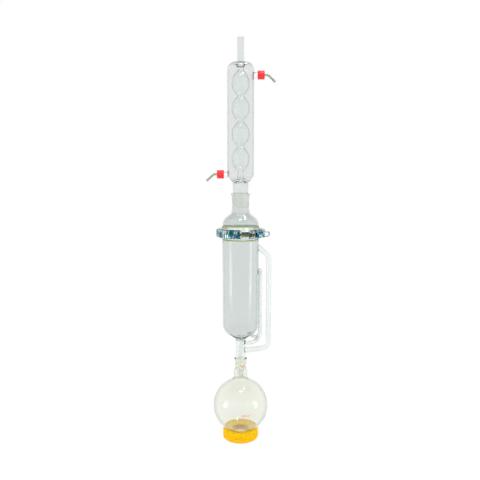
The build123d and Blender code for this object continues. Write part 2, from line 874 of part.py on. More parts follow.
def lever_bracket():
    """bracket on the right band with two ears for the lever's pivot"""
    inner = band_outer() + 0.05
    outer = inner + bracket_thickness
    half = lever_height / 2
    base = section([
        (inner, clamp_z - half, 0), (outer, clamp_z - half, 0.4),
        (outer, clamp_z + half, 0.4), (inner, clamp_z + half, 0),
    ])
    bracket = sector(base, right_band_start, bracket_end)
    foot_left = at_azimuth(outer - 1, right_band_start + 1)
    foot_right = at_azimuth(outer - 1, bracket_end - 3)
    plan = make_hull(
        (Pos(pivot_x, pivot_y) * Circle(ear_radius)).edges()
        + Line((foot_left.X, foot_left.Y), (foot_right.X, foot_right.Y)).edges()
    )
    top = ear_height()
    for low in (top - ear_thickness, -top):
        bracket += extrude(Pos(0, 0, clamp_z + low) * plan, ear_thickness)
    return bracket - upright(pin_radius + running_gap, clamp_z - half, clamp_z + half, pivot_x, pivot_y)


def clamp_lever():
    """lever with two side plates, a web behind the bolt and a finger loop"""
    half = lever_height / 2
    arm_out = lever_arm_radius + lever_arm_width / 2
    arm_in = lever_arm_radius - lever_arm_width / 2
    start = degrees(atan2(pivot_x, -pivot_y))
    thick = lever_plate_thickness
    plates = []
    for low in (clamp_z + half - thick, clamp_z - half):
        high = low + thick
        side = section([(arm_in, low, 0), (arm_out, low, 0), (arm_out, high, 0), (arm_in, high, 0)])
        end = upright(lever_arm_width / 2, low, high, pivot_x, pivot_y)
        plates.append(sector(side, start, lever_arm_end) + end)
    lever = plates[0] + plates[1]
    web = section([
        (arm_out - thick, clamp_z - half, 0), (arm_out, clamp_z - half, 0),
        (arm_out, clamp_z + half, 0), (arm_out - thick, clamp_z + half, 0),
    ])
    lever += sector(web, lever_web_start, lever_arm_end)
    corner = at_azimuth(arm_out, lever_arm_end, clamp_z)
    loop_plane = Plane(origin=corner, x_dir=at_azimuth(1, lever_arm_end + 90), z_dir=at_azimuth(1, lever_arm_end))
    tip = lever_loop_tip_height / 2
    outline = make_face(Polyline(
        (-2, -half), (lever_loop_length, -tip), (lever_loop_length, tip), (-2, half), close=True,
    ))
    outline = fillet(outline.vertices().group_by(Axis.X)[-1], tip - 1)
    frame = lever_loop_frame
    window = make_face(Polyline(
        (frame + 2, frame - half), (lever_loop_length - frame, frame - tip),
        (lever_loop_length - frame, tip - frame), (frame + 2, half - frame), close=True,
    ))
    window = fillet(window.vertices(), 2.5)
    lever += extrude(loop_plane * (outline - window), -thick)
    pin_x, pin_y = bolt_pin_place()
    for x, y in ((pivot_x, pivot_y), (pin_x, pin_y)):
        lever -= upright(pin_radius + running_gap, clamp_z - half - 1, clamp_z + half + 1, x, y)
    return lever


def bolt_pin():
    """pin across the lever that carries the bolt's eye"""
    x, y = bolt_pin_place()
    half = lever_height / 2 + running_gap
    pin = upright(pin_radius, clamp_z - half, clamp_z + half, x, y)
    pin += upright(pin_head_radius, clamp_z + half, clamp_z + half + pin_head_height, x, y)
    pin += upright(pin_head_radius, clamp_z - half - pin_head_height, clamp_z - half, x, y)
    return pin


def pivot_rivet(side):
    """short rivet through one ear of the bracket and one plate of the lever"""
    inner = side * (ear_height() - ear_thickness + 0.1)
    outer = side * (lever_height / 2 + running_gap)
    head = outer + side * pin_head_height
    low, high = sorted((inner, outer))
    head_low, head_high = sorted((outer, head))
    rivet = upright(pin_radius, clamp_z + low, clamp_z + high, pivot_x, pivot_y)
    return rivet + upright(pin_head_radius, clamp_z + head_low, clamp_z + head_high, pivot_x, pivot_y)


def nodes():
    """every piece by its name"""
    upper_z = jacket_z + upper_stub_height
    lower_z = jacket_z + lower_stub_height
    claw_left_end = left_band_end - 3
    claw_right_start = right_band_start + 2
    claw_hinge = hinge_azimuth - claw_hinge_margin
    rear_start = hinge_azimuth + claw_hinge_margin
    pieces = {
        "flask_support_ring": support_ring(),
        "round_bottom_flask": round_bottom_flask(),
        "extractor_body": extractor_body(),
        "flange_seal_ring": flange_seal(),
        "flange_adapter": flange_adapter(),
        "bulb_condenser": condenser(),
        "clamp_rear_band": rear_band(),
        "clamp_left_band": front_band(-1, band_end_margin - hinge_azimuth, left_band_end),
        "clamp_right_band": front_band(1, right_band_start, hinge_azimuth - band_end_margin),
        "clamp_rear_claw": claw(rear_start, 360 - rear_start),
        "clamp_left_claw": claw(-claw_hinge, claw_left_end),
        "clamp_right_claw": claw(claw_right_start, claw_hinge),
        "clamp_left_hinge_pin": hinge_pin(-1),
        "clamp_right_hinge_pin": hinge_pin(1),
        "clamp_catch_bracket": catch_bracket(),
        "clamp_lever_bracket": lever_bracket(),
        "clamp_lever": clamp_lever(),
        "clamp_bolt": clamp_bolt(),
        "clamp_cross_nut": cross_nut(),
        "clamp_bolt_pin": bolt_pin(),
        "clamp_upper_pivot_rivet": pivot_rivet(1),
        "clamp_lower_pivot_rivet": pivot_rivet(-1),
    }
    for name, side, z in (("upper", 1, upper_z), ("lower", -1, lower_z)):
        pieces[name + "_hose_cap"] = along_x(hose_cap(), side, z)
        pieces[name + "_hose_seal"] = along_x(hose_seal(), side, z)
        pieces[name + "_hose_connector"] = along_x(hose_connector(), side, z)
    return pieces


os.makedirs("parts", exist_ok=True)
for name, piece in nodes().items():
    export_step(piece, "parts/" + name + ".step")
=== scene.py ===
import json
from math import atan, atan2, cos, pi, radians, sin, sqrt, tan

import bmesh
import bpy
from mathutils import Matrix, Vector

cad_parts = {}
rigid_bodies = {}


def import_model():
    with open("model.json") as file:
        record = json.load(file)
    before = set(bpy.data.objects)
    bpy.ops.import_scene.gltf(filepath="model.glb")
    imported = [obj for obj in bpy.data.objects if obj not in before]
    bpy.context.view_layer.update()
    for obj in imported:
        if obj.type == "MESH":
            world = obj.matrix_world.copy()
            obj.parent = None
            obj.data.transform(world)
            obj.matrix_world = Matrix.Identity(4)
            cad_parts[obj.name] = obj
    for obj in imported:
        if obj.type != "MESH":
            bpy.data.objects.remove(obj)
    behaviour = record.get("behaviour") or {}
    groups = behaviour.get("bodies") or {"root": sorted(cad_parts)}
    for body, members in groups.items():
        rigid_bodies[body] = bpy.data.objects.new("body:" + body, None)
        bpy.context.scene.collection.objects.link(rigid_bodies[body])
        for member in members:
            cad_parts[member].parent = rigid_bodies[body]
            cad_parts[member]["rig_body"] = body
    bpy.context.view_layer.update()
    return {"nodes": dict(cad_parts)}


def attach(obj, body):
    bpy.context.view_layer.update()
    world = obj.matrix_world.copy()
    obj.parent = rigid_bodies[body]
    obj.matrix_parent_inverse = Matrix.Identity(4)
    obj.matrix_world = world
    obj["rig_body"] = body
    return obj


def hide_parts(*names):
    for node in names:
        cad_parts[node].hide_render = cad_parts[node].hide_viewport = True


# Soxhlet extractor: blown glass round a spun profile, a polished steel flange clamp,
# red screw caps on the water connections and a yellow granulate ring under the flask.
# Sizes are in millimetres, as in the CAD, and mm turns them to metres.

mm = 0.001
near = 2e-6
turn_steps = 128
bend_steps = 10

# Heights that the pieces share
flask_middle = 101.0
lower_joint = 217.0
lower_rim = 249.0
chamber_floor = 305.5
flange_face = 632.0
adapter_face = 632.4
upper_joint = 707.4
upper_rim = 749.4
jacket_foot = 780.9
jacket_top = 1125.9
upper_stub = jacket_foot + 310.5
lower_stub = jacket_foot + 24.5

# Radii that the pieces share
joint_taper = 0.1
chamber_radius = 54.0
chamber_wall = 3.0
flange_radius = 69.0
lower_cone_radius = 14.55
upper_cone_radius = 24.95

# Sizes of the finishes: slow waves in blown glass and the grit of ground joints
wave_length = 45
grit_size = 0.8


def clear_selection():
    """nothing selected and nothing in edit mode, so that an operator acts on one piece only"""
    bpy.ops.object.select_all(action="DESELECT")
    bpy.context.view_layer.objects.active = None


def take(piece):
    """one piece selected and active"""
    clear_selection()
    piece.select_set(True)
    bpy.context.view_layer.objects.active = piece


def pick(piece, chosen, kind="verts"):
    """in edit mode, select the vertices, edges or faces that a rule chooses"""
    mesh = bmesh.from_edit_mesh(piece.data)
    bpy.ops.mesh.select_mode(type={"verts": "VERT", "edges": "EDGE", "faces": "FACE"}[kind])
    bpy.ops.mesh.select_all(action="DESELECT")
    for part in getattr(mesh, kind):
        part.select = chosen(part)
    mesh.select_flush_mode()
    bmesh.update_edit_mesh(piece.data)


def drawn_line(name, corners, closed=False):
    """line of extruded vertices through (x, y, z, rounding) corners, each corner rounded by a bevel"""
    clear_selection()
    bpy.ops.mesh.primitive_plane_add(size=mm)
    piece = bpy.context.active_object
    piece.name = name
    bpy.ops.object.mode_set(mode="EDIT")
    bpy.ops.mesh.select_mode(type="VERT")
    bpy.ops.mesh.merge(type="CENTER")
    places = [Vector((x, y, z)) * mm for x, y, z, rounding in corners]
    bpy.ops.transform.translate(value=places[0])
    for before, after in zip(places, places[1:]):
        bpy.ops.mesh.extrude_region_move(TRANSFORM_OT_translate={"value": after - before})
    if closed:
        pick(piece, lambda v: min((v.co - places[0]).length, (v.co - places[-1]).length) < near)
        bpy.ops.mesh.edge_face_add()
    count = len(corners)
    for i, (x, y, z, rounding) in enumerate(corners):
        if not rounding or (not closed and i in (0, count - 1)):
            continue
        here = places[i]
        inward = (here - places[i - 1]).normalized()
        outward = (places[(i + 1) % count] - here).normalized()
        swing = inward.angle(outward)
        pick(piece, lambda v: (v.co - here).length < near)
        bpy.ops.mesh.bevel(
            offset_type="OFFSET", offset=rounding * mm * tan(swing / 2), affect="VERTICES",
            segments=max(2, round(bend_steps * swing / (pi / 2))), profile=0.5,
        )
    return piece


def turned(name, corners, closed=False, steps=turn_steps):
    """solid spun round the vertical axis from (radius, z, rounding) corners"""
    piece = drawn_line(name, [(r, 0, z, rounding) for r, z, rounding in corners], closed)
    bpy.ops.mesh.select_all(action="SELECT")
    bpy.ops.mesh.spin(steps=steps, angle=2 * pi, center=(0, 0, 0), axis=(0, 0, 1))
    bpy.ops.mesh.select_all(action="SELECT")
    bpy.ops.mesh.remove_doubles(threshold=1e-6)
    bpy.ops.mesh.normals_make_consistent(inside=False)
    bpy.ops.object.mode_set(mode="OBJECT")
    return piece


def tube(name, corners, radius):
    """round bar along (x, y, z, rounding) corners"""
    piece = drawn_line(name, corners)
    bpy.ops.object.mode_set(mode="OBJECT")
    take(piece)
    bpy.ops.object.convert(target="CURVE")
    piece = bpy.context.active_object
    piece.data.bevel_depth = radius * mm
    piece.data.bevel_resolution = 10
    piece.data.use_fill_caps = True
    bpy.ops.object.convert(target="MESH")
    piece = bpy.context.active_object
    bpy.ops.object.mode_set(mode="EDIT")
    bpy.ops.mesh.select_all(action="SELECT")
    bpy.ops.mesh.remove_doubles(threshold=1e-6)
    bpy.ops.mesh.normals_make_consistent(inside=False)
    bpy.ops.object.mode_set(mode="OBJECT")
    return piece


def join_solid(piece, tool, operation):
    """melt a tool solid onto a piece, or cut it away"""
    take(piece)
    change = piece.modifiers.new("melt", "BOOLEAN")
    change.object = tool
    change.operation = operation
    change.solver = "MANIFOLD"
    bpy.ops.object.modifier_apply(modifier=change.name)
    bpy.data.objects.remove(tool)


def melt_on(piece, tool):
    join_solid(piece, tool, "UNION")


def cut_away(piece, tool):
    join_solid(piece, tool, "DIFFERENCE")


def smooth(piece, degrees=35):
    take(piece)
    bpy.ops.object.shade_smooth_by_angle(angle=radians(degrees))


def inner_line(outline, wall):
    """corners of the line one wall inside an outline that runs upwards on its right"""
    line = []
    last = len(outline) - 1
    for i, (x, z, rounding) in enumerate(outline):
        x0, z0, _ = outline[max(i - 1, 0)]
        x1, z1, _ = outline[min(i + 1, last)]
        heading_in = atan2(z - z0, x - x0) if i > 0 else atan2(z1 - z, x1 - x)
        heading_out = atan2(z1 - z, x1 - x) if i < last else heading_in
        swing = atan2(sin(heading_out - heading_in), cos(heading_out - heading_in))
        middle = heading_in + swing / 2
        step = wall / cos(swing / 2)
        follow = -wall if swing > 0 else wall
        inner_rounding = max(rounding + follow, 0.0) if rounding else 0.0
        line.append((x - step * sin(middle), z + step * cos(middle), inner_rounding))
    return line


# Materials

def linear(colour):
    """hex sRGB colour as the linear values that a shader takes"""
    values = [int(colour[i:i + 2], 16) / 255 for i in (1, 3, 5)]
    return [v / 12.92 if v <= 0.04045 else ((v + 0.055) / 1.055) ** 2.4 for v in values] + [1.0]


def add(tree, kind, settings=None, inputs=None):
    """one node with its settings, and its inputs as values or as links from other sockets"""
    node = tree.nodes.new(kind)
    for key, value in (settings or {}).items():
        setattr(node, key, value)
    for key, value in (inputs or {}).items():
        if isinstance(value, bpy.types.NodeSocket):
            tree.links.new(value, node.inputs[key])
        else:
            node.inputs[key].default_value = value
    return node


def new_material(name):
    material = bpy.data.materials.new(name)
    material.use_nodes = True
    material.node_tree.nodes.clear()
    return material, material.node_tree


def glass_material(name, tint, edge_tint, roughness, waves, grain=0.0, clear_share=1.0):
    """glass that lets lamps through, coloured once where light goes in,
    and deeper where the eye looks along the wall"""
    through = [a * b for a, b in zip(linear(tint), linear(tint))]
    along = [a * b for a, b in zip(linear(tint), linear(edge_tint))]
    material, tree = new_material(name)
    place = add(tree, "ShaderNodeTexCoord")
    wave = add(tree, "ShaderNodeTexNoise", inputs={
        "Vector": place.outputs["Object"], "Scale": 1 / (wave_length * mm), "Detail": 1.0,
    })
    bump = add(tree, "ShaderNodeBump", inputs={
        "Height": wave.outputs["Fac"], "Strength": waves, "Distance": 1.0 * mm,
    })
    if grain:
        grit = add(tree, "ShaderNodeTexNoise", inputs={
            "Vector": place.outputs["Object"], "Scale": 1 / (grit_size * mm), "Detail": 2.0,
        })
        bump = add(tree, "ShaderNodeBump", inputs={
            "Height": grit.outputs["Fac"], "Strength": grain, "Distance": 0.1 * mm,
            "Normal": bump.outputs["Normal"],
        })
    slant = add(tree, "ShaderNodeLayerWeight", inputs={"Blend": 0.5})
    depth = add(tree, "ShaderNodeMapRange", inputs={
        "Value": slant.outputs["Facing"], "From Min": 0.50, "From Max": 0.88,
    })
    colour = add(tree, "ShaderNodeMix", {"data_type": "RGBA"}, {
        "Factor": depth.outputs["Result"], "A": through, "B": along,
    })
    side = add(tree, "ShaderNodeNewGeometry")
    colour = add(tree, "ShaderNodeMix", {"data_type": "RGBA"}, {
        "Factor": side.outputs["Backfacing"], "A": colour.outputs["Result"], "B": (1, 1, 1, 1),
    })
    glass = add(tree, "ShaderNodeBsdfPrincipled", inputs={
        "Base Color": colour.outputs["Result"], "Roughness": roughness, "IOR": 1.47,
        "Transmission Weight": clear_share, "Normal": bump.outputs["Normal"],
    })
    clear = add(tree, "ShaderNodeBsdfTransparent", inputs={"Color": linear("#fafcfa")})
    path = add(tree, "ShaderNodeLightPath")
    mixed = add(tree, "ShaderNodeMixShader", inputs={
        0: path.outputs["Is Shadow Ray"], 1: glass.outputs["BSDF"], 2: clear.outputs["BSDF"],
    })
    add(tree, "ShaderNodeOutputMaterial", inputs={"Surface": mixed.outputs["Shader"]})
    return material


# Borosilicate 3.3 glass, blown and flame worked: almost no colour through a wall, grey green where
# the eye looks along it, and slow waves in its surface that make reflections swim a little.
blown_glass = glass_material("borosilicate_blown", "#e6eae9", "#bcc8c5", 0.0, 0.12)

# The flask, blown thinner and larger, with a faint warm tint that is painted light: the glow that the
# yellow ring throws into it.
flask_wall_glass = glass_material("borosilicate_flask", "#f6f7f1", "#c2ccc4", 0.0, 0.12)

# The condenser's jacket, of drawn tube: paler than the thick extractor.
jacket_glass = glass_material("borosilicate_jacket", "#eef0ef", "#b4c0bd", 0.0, 0.06)

# The dome of the jacket, worked in the flame: the eye meets its layers so flat that each takes less.
dome_glass = glass_material("borosilicate_dome", "#f0f2f1", "#dbe1df", 0.0, 0.06)

# The narrow tubes of the extractor, drawn with a thin wall: pale inside, with blue green edges.
tube_glass = glass_material("borosilicate_tube", "#f6f9f7", "#b8d2ca", 0.0, 0.08)

# Flares where a tube melts into a wall: so clear that they only bend what is behind them.
clear_glass = glass_material("borosilicate_clear", "#ffffff", "#fcfdfc", 0.0, 0.04)

# The thin wall of the bulbs inside the condenser: the same glass, clearer because it is thinner.
thin_glass = glass_material("borosilicate_thin", "#fdfefd", "#b0bdba", 0.0, 0.04)

# Back of a thick pressed flange: a little milky and yellow green, as light runs a long way in it.
flange_glass = glass_material(
    "borosilicate_flange", "#eff3e8", "#dde4cc", 0.12, 0.12, clear_share=0.62,
)
flange_root_glass = glass_material(
    "borosilicate_flange_root", "#eaf0cc", "#bdd08e", 0.12, 0.12, clear_share=0.7,
)

# The same glass ground with fine grit at the joints: white, soft and half see-through.
ground_glass = glass_material(
    "borosilicate_ground", "#f3f2eb", "#dfdfd6", 0.40, 0.12, grain=0.35, clear_share=0.5,
)
fine_ground_glass = glass_material(
    "borosilicate_fine_ground", "#fdfcf6", "#eceae0", 0.25, 0.12, grain=0.2, clear_share=0.8,
)


def steel_material():
    """rolled and polished stainless steel, bright, with faint lines along the strip; its base colour
    is painted reflection: upright patches of dark teal, blue, green and brown for the room it mirrors,
    with a white painted highlight among them
    """
    material, tree = new_material("stainless_rolled_painted_reflections")
    place = add(tree, "ShaderNodeTexCoord")
    lines = add(tree, "ShaderNodeMapping", inputs={
        "Vector": place.outputs["Object"], "Scale": (0.05, 0.05, 1.0),
    })
    scratch = add(tree, "ShaderNodeTexNoise", inputs={
        "Vector": lines.outputs["Vector"], "Scale": 1 / (0.5 * mm), "Detail": 3.0,
    })
    cloud = add(tree, "ShaderNodeTexNoise", inputs={
        "Vector": place.outputs["Object"], "Scale": 1 / (9 * mm), "Detail": 2.0,
    })
    rough = add(tree, "ShaderNodeMapRange", inputs={
        "Value": cloud.outputs["Fac"], "To Min": 0.06, "To Max": 0.18,
    })
    bump = add(tree, "ShaderNodeBump", inputs={
        "Height": scratch.outputs["Fac"], "Strength": 0.15, "Distance": 0.05 * mm,
    })
    # painted reflection: upright patches in the base colour, dark teal, blue, green and brown for a
    # mirrored room, and a white painted highlight at 0.56 on the ramp
    reflection_stretch = add(tree, "ShaderNodeMapping", inputs={
        "Vector": place.outputs["Object"], "Scale": (1.0, 1.0, 0.35),
    })
    reflection_patches = add(tree, "ShaderNodeTexNoise", inputs={
        "Vector": reflection_stretch.outputs["Vector"], "Scale": 1 / (11 * mm), "Detail": 1.5,
    })
    painted_reflection = add(tree, "ShaderNodeValToRGB", inputs={"Fac": reflection_patches.outputs["Fac"]})
    steps = (
        (0.30, "#163f56"), (0.40, "#1a6482"), (0.47, "#2f8296"), (0.52, "#8fa9b0"),
        (0.56, "#eceff4"), (0.61, "#2f6f5e"), (0.70, "#6a5c3c"),
    )
    ramp = painted_reflection.color_ramp.elements
    while len(ramp) < len(steps):
        ramp.new(0.5)
    for stop, (place_on_ramp, colour) in zip(ramp, steps):
        stop.position = place_on_ramp
        stop.color = linear(colour)
    metal = add(tree, "ShaderNodeBsdfPrincipled", inputs={
        "Base Color": painted_reflection.outputs["Color"], "Metallic": 1.0,
        "Roughness": rough.outputs["Result"], "Normal": bump.outputs["Normal"],
    })
    add(tree, "ShaderNodeOutputMaterial", inputs={"Surface": metal.outputs["BSDF"]})
    return material


def thread_material():
    """threaded steel rod, darker than polished strip, with painted shade: a dark brown base colour,
    darkest in each thread groove, for the light its threads throw down
    """
    material, tree = new_material("steel_threaded_painted_shade")
    place = add(tree, "ShaderNodeTexCoord")
    thread = add(tree, "ShaderNodeTexWave", inputs={
        "Vector": place.outputs["Object"], "Scale": 1 / (6.28 * mm),
    })
    bump = add(tree, "ShaderNodeBump", inputs={
        "Height": thread.outputs["Fac"], "Strength": 0.6, "Distance": 0.4 * mm,
    })
    # painted shade: dark brown in the thread grooves, lighter brown on the crests
    colour = add(tree, "ShaderNodeValToRGB", inputs={"Fac": thread.outputs["Fac"]})
    colour.color_ramp.elements[0].color = linear("#3a3220")
    colour.color_ramp.elements[1].color = linear("#8a7a4e")
    metal = add(tree, "ShaderNodeBsdfPrincipled", inputs={
        "Base Color": colour.outputs["Color"], "Metallic": 0.8, "Roughness": 0.35,
        "Normal": bump.outputs["Normal"],
    })
    add(tree, "ShaderNodeOutputMaterial", inputs={"Surface": metal.outputs["BSDF"]})
    return material


def print_material():
    """orange enamel, fired on: flat and matt, a little uneven where it is thin"""
    material, tree = new_material("enamel_orange")
    place = add(tree, "ShaderNodeTexCoord")
    cloud = add(tree, "ShaderNodeTexNoise", inputs={
        "Vector": place.outputs["Object"], "Scale": 1 / (1.5 * mm),
    })
    rough = add(tree, "ShaderNodeMapRange", inputs={
        "Value": cloud.outputs["Fac"], "To Min": 0.5, "To Max": 0.8,
    })
    enamel = add(tree, "ShaderNodeBsdfPrincipled", inputs={
        "Base Color": linear("#f08a3c"), "Roughness": rough.outputs["Result"],
    })
    add(tree, "ShaderNodeOutputMaterial", inputs={"Surface": enamel.outputs["BSDF"]})
    return material


def cap_material():
    """moulded PBT of the screw caps: strong red with a soft sheen and a slight moulding unevenness"""
    material, tree = new_material("pbt_moulded_red")
    place = add(tree, "ShaderNodeTexCoord")
    cloud = add(tree, "ShaderNodeTexNoise", inputs={
        "Vector": place.outputs["Object"], "Scale": 1 / (4 * mm), "Detail": 3.0,
    })
    colour = add(tree, "ShaderNodeValToRGB", inputs={"Fac": cloud.outputs["Fac"]})
    colour.color_ramp.elements[0].color = linear("#e8121b")
    colour.color_ramp.elements[1].color = linear("#fa262b")
    bump = add(tree, "ShaderNodeBump", inputs={
        "Height": cloud.outputs["Fac"], "Strength": 0.1, "Distance": 0.1 * mm,
    })
    plastic = add(tree, "ShaderNodeBsdfPrincipled", inputs={
        "Base Color": colour.outputs["Color"], "Roughness": 0.34, "Specular IOR Level": 0.6,
        "Normal": bump.outputs["Normal"],
    })
    add(tree, "ShaderNodeOutputMaterial", inputs={"Surface": plastic.outputs["BSDF"]})
    return material


def ring_material(name, deep, bright, pit, speck):
    """bonded rubber granulate: bright yellow grains with darker pits between them, drawn at 3.5 mm
    where the real ones are 1 to 2 mm, as finer ones do not show"""
    material, tree = new_material(name)
    place = add(tree, "ShaderNodeTexCoord")
    grains = add(tree, "ShaderNodeTexVoronoi", inputs={
        "Vector": place.outputs["Object"], "Scale": 1 / (3.5 * mm),
    })
    fine = add(tree, "ShaderNodeTexNoise", inputs={
        "Vector": place.outputs["Object"], "Scale": 1 / (2.4 * mm), "Detail": 3.0,
    })
    colour = add(tree, "ShaderNodeValToRGB", inputs={"Fac": fine.outputs["Fac"]})
    colour.color_ramp.elements[0].position = 0.30
    colour.color_ramp.elements[0].color = linear(deep)
    colour.color_ramp.elements[1].position = 0.50
    colour.color_ramp.elements[1].color = linear(bright)
    pits = add(tree, "ShaderNodeMapRange", inputs={
        "Value": grains.outputs["Distance"], "From Min": 0.35, "From Max": 0.75,
    })
    mixed = add(tree, "ShaderNodeMix", {"data_type": "RGBA"}, {
        "Factor": pits.outputs["Result"], "A": colour.outputs["Color"], "B": linear(pit),
    })
    sparse = add(tree, "ShaderNodeTexNoise", inputs={
        "Vector": place.outputs["Object"], "Scale": 1 / (3.0 * mm), "Detail": 1.0,
    })
    specks = add(tree, "ShaderNodeMapRange", inputs={
        "Value": sparse.outputs["Fac"], "From Min": 0.64, "From Max": 0.70,
    })
    mixed = add(tree, "ShaderNodeMix", {"data_type": "RGBA"}, {
        "Factor": specks.outputs["Result"], "A": mixed.outputs["Result"], "B": linear(speck),
    })
    bump = add(tree, "ShaderNodeBump", {"invert": True}, {
        "Height": grains.outputs["Distance"], "Strength": 0.9, "Distance": 0.6 * mm,
    })
    rubber = add(tree, "ShaderNodeBsdfPrincipled", inputs={
        "Base Color": mixed.outputs["Result"], "Roughness": 0.85, "Specular IOR Level": 0.2,
        "Normal": bump.outputs["Normal"],
    })
    add(tree, "ShaderNodeOutputMaterial", inputs={"Surface": rubber.outputs["BSDF"]})
    return material


def seal_material():
    """silicone rubber, pressed: milky, with a satin face"""
    material, tree = new_material("silicone_pressed")
    place = add(tree, "ShaderNodeTexCoord")
    cloud = add(tree, "ShaderNodeTexNoise", inputs={
        "Vector": place.outputs["Object"], "Scale": 1 / (6 * mm), "Detail": 2.0,
    })
    rough = add(tree, "ShaderNodeMapRange", inputs={
        "Value": cloud.outputs["Fac"], "To Min": 0.35, "To Max": 0.55,
    })
    soft = add(tree, "ShaderNodeBsdfPrincipled", inputs={
        "Base Color": linear("#e4e6e0"), "Roughness": rough.outputs["Result"],
        "Transmission Weight": 0.4,
    })
    add(tree, "ShaderNodeOutputMaterial", inputs={"Surface": soft.outputs["BSDF"]})
    return material


stainless = steel_material()
threaded_steel = thread_material()
orange_print = print_material()
red_cap = cap_material()
yellow_granulate = ring_material("rubber_granulate_yellow", "#dc9e00", "#fcca02", "#e8ad00", "#7a5f08")
# Painted light: a paler copy of the granulate for the seat under the flask, for the light that the
# glass bottom gathers on it.
seat_granulate_painted_light = ring_material("rubber_granulate_seat_painted_light", "#f0c458", "#ffe48c", "#f4cf6a", "#c9a040")
silicone = seal_material()

# Small hose tails of pressed glass: greyer than the blown parts, with bright streaks.
pressed_glass = glass_material("borosilicate_pressed", "#c9d0c4", "#76867c", 0.03, 0.3)

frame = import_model()
clear_selection()


def dress(piece, material, body, slot, *nodes):
    """material, body and replaced CAD nodes of a finished piece; the record slot is not used"""
    piece.data.materials.clear()
    piece.data.materials.append(material)
    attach(piece, body)
    if nodes:
        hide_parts(*nodes)


def assign(piece, material, low, high, inner, outer):
    """a material on the faces between two heights and two radii"""
    piece.data.materials.append(material)
    take(piece)
    bpy.ops.object.mode_set(mode="EDIT")

    def in_joint(face):
        middle = face.calc_center_median() / mm
        radius = sqrt(middle.x ** 2 + middle.y ** 2)
        return low < middle.z < high and inner < radius < outer

    pick(piece, in_joint, "faces")
    piece.active_material_index = len(piece.data.materials) - 1
    bpy.ops.object.material_slot_assign()
    bpy.ops.object.mode_set(mode="OBJECT")


def socket_line(small_z, length, diameter, wall, bead):
    """outer corners of a ground socket with a bead at its mouth, from the bottom up"""
    wide = diameter / 2 + wall
    return [
        (wide - length * joint_taper / 2, small_z, 2.0),
        (wide - 0.25, small_z + length - 5, 1.0),
        (wide + bead, small_z + length - 3.5, 1.2),
        (wide + bead, small_z + length, 1.2),
    ]


def socket_bore(small_z, length, diameter):
    """inner corners of a ground socket, from its mouth down"""
    wide = diameter / 2
    return [(wide, small_z + length, 0.8), (wide - length * joint_taper / 2, small_z, 0.5)]


# Support ring under the flask

def support_ring():
    seat = 83.3
    bore = 27.0
    outer = 54.0
    seat_foot = flask_middle - sqrt(seat ** 2 - bore ** 2)
    rim_radius = sqrt(seat ** 2 - (flask_middle - 30) ** 2)
    corners = [(bore, 0, 2.0), (outer, 0, 5.0), (outer, 30, 5.0), (rim_radius, 30, 0.0)]
    rise = [rim_radius + (bore - rim_radius) * i / 8 for i in range(1, 8)]
    corners += [(r, flask_middle - sqrt(seat ** 2 - r ** 2), 0.0) for r in rise]
    corners += [(bore, seat_foot, 0.0)]
    ring = turned("support_ring_granulate", corners, closed=True)
    smooth(ring)
    dress(ring, yellow_granulate, "glassware", "ring_rubber", "flask_support_ring")
    # painted light: the seat under the flask takes the paler copy of the granulate
    assign(ring, seat_granulate_painted_light, seat_foot, 29.9, bore + 0.1, rim_radius - 0.3)


# Round bottom flask, blown in one piece with its ground socket

def round_bottom_flask():
    outer_radius = 83.0
    wall = 2.6
    neck = 21.0
    shoulder = 9.0

    def ball_and_neck(radius, neck_radius, rounding):
        """corners of the ball from its bottom to the neck, one for each few degrees"""
        meet = pi - atan(neck_radius / sqrt(radius ** 2 - neck_radius ** 2))
        steps = 44
        corners = [(0, flask_middle - radius, 0)]
        for i in range(1, steps + 1):
            angle = (meet - 0.13) * i / steps
            corners.append((radius * sin(angle), flask_middle - radius * cos(angle), 0))
        top = flask_middle + sqrt(radius ** 2 - neck_radius ** 2)
        return corners + [(neck_radius, top + 2, rounding)]

    outer = ball_and_neck(outer_radius, neck, shoulder)
    outer += [(neck, lower_joint - 5, 5)] + socket_line(lower_joint, 32, 29.2, 3.6, 1.3)
    inner = ball_and_neck(outer_radius - wall, neck - 2.4, shoulder + 2.4)
    inner += [(neck - 2.4, lower_joint - 7, 4)] + socket_bore(lower_joint, 32, 29.2)[::-1]
    flask = turned("flask_glass", outer + inner[::-1])
    smooth(flask)
    dress(flask, flask_wall_glass, "glassware", "flask_glass", "round_bottom_flask")
    assign(flask, fine_ground_glass, lower_joint + 0.5, lower_rim - 0.5, 12, 14.7)
    return flask


# Extractor: chamber, flange, vapour tube, siphon and drip tip, blown in one piece

def flange_corners(face, side):
    """outer corners of a flat flange, from its mating face to the tube behind it"""
    return [
        (flange_radius, face, 0.8),
        (flange_radius, face + side * 7, 1.0),
        (flange_radius - 4.5, face + side * 11.5, 1.5),
        (chamber_radius, face + side * 18.9, 8.0),
    ]


def around(radius, azimuth, z, rounding):
    """corner at a distance from the axis, the azimuth counted from the front towards +X"""
    angle = radians(azimuth)
    return (radius * sin(angle), -radius * cos(angle), z, rounding)


def vapour_corners(start, end):
    top_slope = tan(radians(38))
    foot_slope = tan(radians(7))
    outlet = flange_face - 44
    foot = lower_rim + 22
    reach = 84.5
    return [
        (start, 0, outlet + (chamber_radius - start) * top_slope, 0),
        (reach, 0, outlet - (reach - chamber_radius) * top_slope, 28),
        (reach, 0, foot + reach * foot_slope, 20),
        (end, 0, foot + end * foot_slope, 0),
    ]


def siphon_corners(start, tip):
    slope = tan(radians(36))
    reach = 62.0
    port = chamber_floor + 18 * slope + chamber_wall / 2
    foot = chamber_floor - 5.5
    fall = (port - foot) / (reach - 28)
    crown = reach * sin(radians(19)) - 0.2
    top = chamber_floor + 213.5
    back_to_axis = chamber_floor - 7.5
    return [
        around(start, 109, port + (28 - start) * fall, 0),
        around(reach, 109, foot, 15),
        around(reach, 109, top, crown),
        around(reach, 71, top, crown),
        around(reach, 71, back_to_axis, 38),
        (0, 0, back_to_axis, 12),
        (0, 0, tip, 0),
    ]


